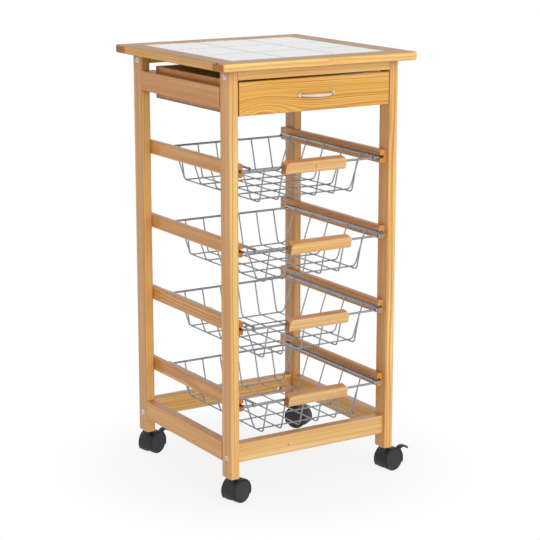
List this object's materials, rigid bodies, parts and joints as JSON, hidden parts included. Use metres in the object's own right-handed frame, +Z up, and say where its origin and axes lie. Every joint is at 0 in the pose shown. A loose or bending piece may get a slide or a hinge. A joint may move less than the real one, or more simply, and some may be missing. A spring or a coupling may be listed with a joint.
{
  "type": "kitchen cart",
  "caption": "Slim wooden kitchen cart on swivel casters, with a tiled worktop, one drawer with a bow handle and pull-out wire baskets in grooved runners.",
  "frame": {"origin": "on the floor under the middle of the worktop, midway between the four posts", "axes": "+Z up, -Y to the front where the drawer and baskets open, +X to the right seen from the front"},
  "size_m": [0.3968, 0.371, 0.734],
  "materials": {
    "pine": "clear satin lacquer on knotty pine",
    "pull_wood": "clear satin lacquer",
    "beech_dowels": "plain",
    "board": "plain hardboard",
    "white_tile": "gloss glaze",
    "grout": "matte cement grout",
    "zinc_wire": "bright zinc plated",
    "zinc_bolts": "zinc plated",
    "steel_fasteners": "plain steel",
    "chrome": "polished",
    "black_plastic": "moulded"
  },
  "bodies": {
    "frame": {"left_front_post": "pine", "left_rear_post": "pine", "right_front_post": "pine", "right_rear_post": "pine", "left_drawer_rail": "pine", "right_drawer_rail": "pine", "left_bottom_rail": "pine", "right_bottom_rail": "pine", "front_top_rail": "pine", "rear_top_rail": "pine", "front_bottom_rail": "pine", "rear_bottom_rail": "pine", "left_basket_runners": "pine", "right_basket_runners": "pine", "runner_pins": "steel_fasteners", "frame_dowels": "beech_dowels", "frame_bolts": "zinc_bolts", "barrel_nuts": "zinc_bolts", "drawer_guides": "pine", "worktop_front_border": "pine", "worktop_rear_border": "pine", "worktop_left_border": "pine", "worktop_right_border": "pine", "tile_board": "board", "tiles": "white_tile", "tile_grout": "grout", "worktop_screws": "steel_fasteners", "caster_stems": "zinc_bolts"},
    "drawer": {"drawer_front": "pine", "drawer_left_side": "pine", "drawer_right_side": "pine", "drawer_back": "pine", "drawer_bottom": "board", "drawer_dowels": "beech_dowels", "drawer_pins": "steel_fasteners", "drawer_handle": "chrome", "drawer_handle_screws": "steel_fasteners"},
    "basket_1": {"basket_1": "zinc_wire", "basket_pull_1": "pull_wood"},
    "basket_2": {"basket_2": "zinc_wire", "basket_pull_2": "pull_wood"},
    "basket_3": {"basket_3": "zinc_wire", "basket_pull_3": "pull_wood"},
    "basket_4": {"basket_4": "zinc_wire", "basket_pull_4": "pull_wood"},
    "front_left_caster": {"front_left_caster_hood": "black_plastic"},
    "front_left_wheels": {"front_left_caster_wheels": "black_plastic", "front_left_caster_axle": "zinc_bolts"},
    "front_right_caster": {"front_right_caster_hood": "black_plastic"},
    "front_right_wheels": {"front_right_caster_wheels": "black_plastic", "front_right_caster_axle": "zinc_bolts"},
    "front_right_brake": {"front_right_brake_lever": "black_plastic"},
    "rear_left_caster": {"rear_left_caster_hood": "black_plastic"},
    "rear_left_wheels": {"rear_left_caster_wheels": "black_plastic", "rear_left_caster_axle": "zinc_bolts"},
    "rear_left_brake": {"rear_left_brake_lever": "black_plastic"},
    "rear_right_caster": {"rear_right_caster_hood": "black_plastic"},
    "rear_right_wheels": {"rear_right_caster_wheels": "black_plastic", "rear_right_caster_axle": "zinc_bolts"}
  },
  "joints": [
    {"name": "drawer_slide", "type": "slide", "parent": "frame", "child": "drawer", "axis": [0, -1, 0], "range_m": [0, 0.19]},
    {"name": "basket_1_slide", "type": "slide", "parent": "frame", "child": "basket_1", "axis": [0, -1, 0], "range_m": [-0.003, 0.177]},
    {"name": "basket_2_slide", "type": "slide", "parent": "frame", "child": "basket_2", "axis": [0, -1, 0], "range_m": [-0.02, 0.16]},
    {"name": "basket_3_slide", "type": "slide", "parent": "frame", "child": "basket_3", "axis": [0, -1, 0], "range_m": [-0.015, 0.165]},
    {"name": "basket_4_slide", "type": "slide", "parent": "frame", "child": "basket_4", "axis": [0, -1, 0], "range_m": [-0.013, 0.167]},
    {"name": "front_left_swivel", "type": "hinge", "parent": "frame", "child": "front_left_caster", "pos_m": [-0.1545, -0.148, 0.04], "axis": [0, 0, 1], "continuous": true},
    {"name": "front_left_wheel_spin", "type": "hinge", "parent": "front_left_caster", "child": "front_left_wheels", "pos_m": [-0.14207, -0.1442, 0.0195], "axis": [-0.2924, 0.9563, 0], "continuous": true},
    {"name": "front_right_swivel", "type": "hinge", "parent": "frame", "child": "front_right_caster", "pos_m": [0.1545, -0.148, 0.04], "axis": [0, 0, 1], "continuous": true},
    {"name": "front_right_wheel_spin", "type": "hinge", "parent": "front_right_caster", "child": "front_right_wheels", "pos_m": [0.16737, -0.14619, 0.0195], "axis": [-0.1392, 0.9903, 0], "continuous": true},
    {"name": "front_right_brake_press", "type": "hinge", "parent": "front_right_caster", "child": "front_right_brake", "pos_m": [0.18888, -0.14317, 0.03105], "axis": [-0.1392, 0.9903, 0], "range_deg": [0, 20]},
    {"name": "rear_left_swivel", "type": "hinge", "parent": "frame", "child": "rear_left_caster", "pos_m": [-0.1545, 0.148, 0.04], "axis": [0, 0, 1], "continuous": true},
    {"name": "rear_left_wheel_spin", "type": "hinge", "parent": "rear_left_caster", "child": "rear_left_wheels", "pos_m": [-0.14236, 0.15266, 0.0195], "axis": [-0.3584, 0.9336, 0], "continuous": true},
    {"name": "rear_left_brake_press", "type": "hinge", "parent": "rear_left_caster", "child": "rear_left_brake", "pos_m": [-0.12209, 0.16044, 0.03105], "axis": [-0.3584, 0.9336, 0], "range_deg": [0, 20]},
    {"name": "rear_right_swivel", "type": "hinge", "parent": "frame", "child": "rear_right_caster", "pos_m": [0.1545, 0.148, 0.04], "axis": [0, 0, 1], "continuous": true},
    {"name": "rear_right_wheel_spin", "type": "hinge", "parent": "rear_right_caster", "child": "rear_right_wheels", "pos_m": [0.1606, 0.13652, 0.0195], "axis": [0.8829, 0.4695, 0], "continuous": true}
  ]
}
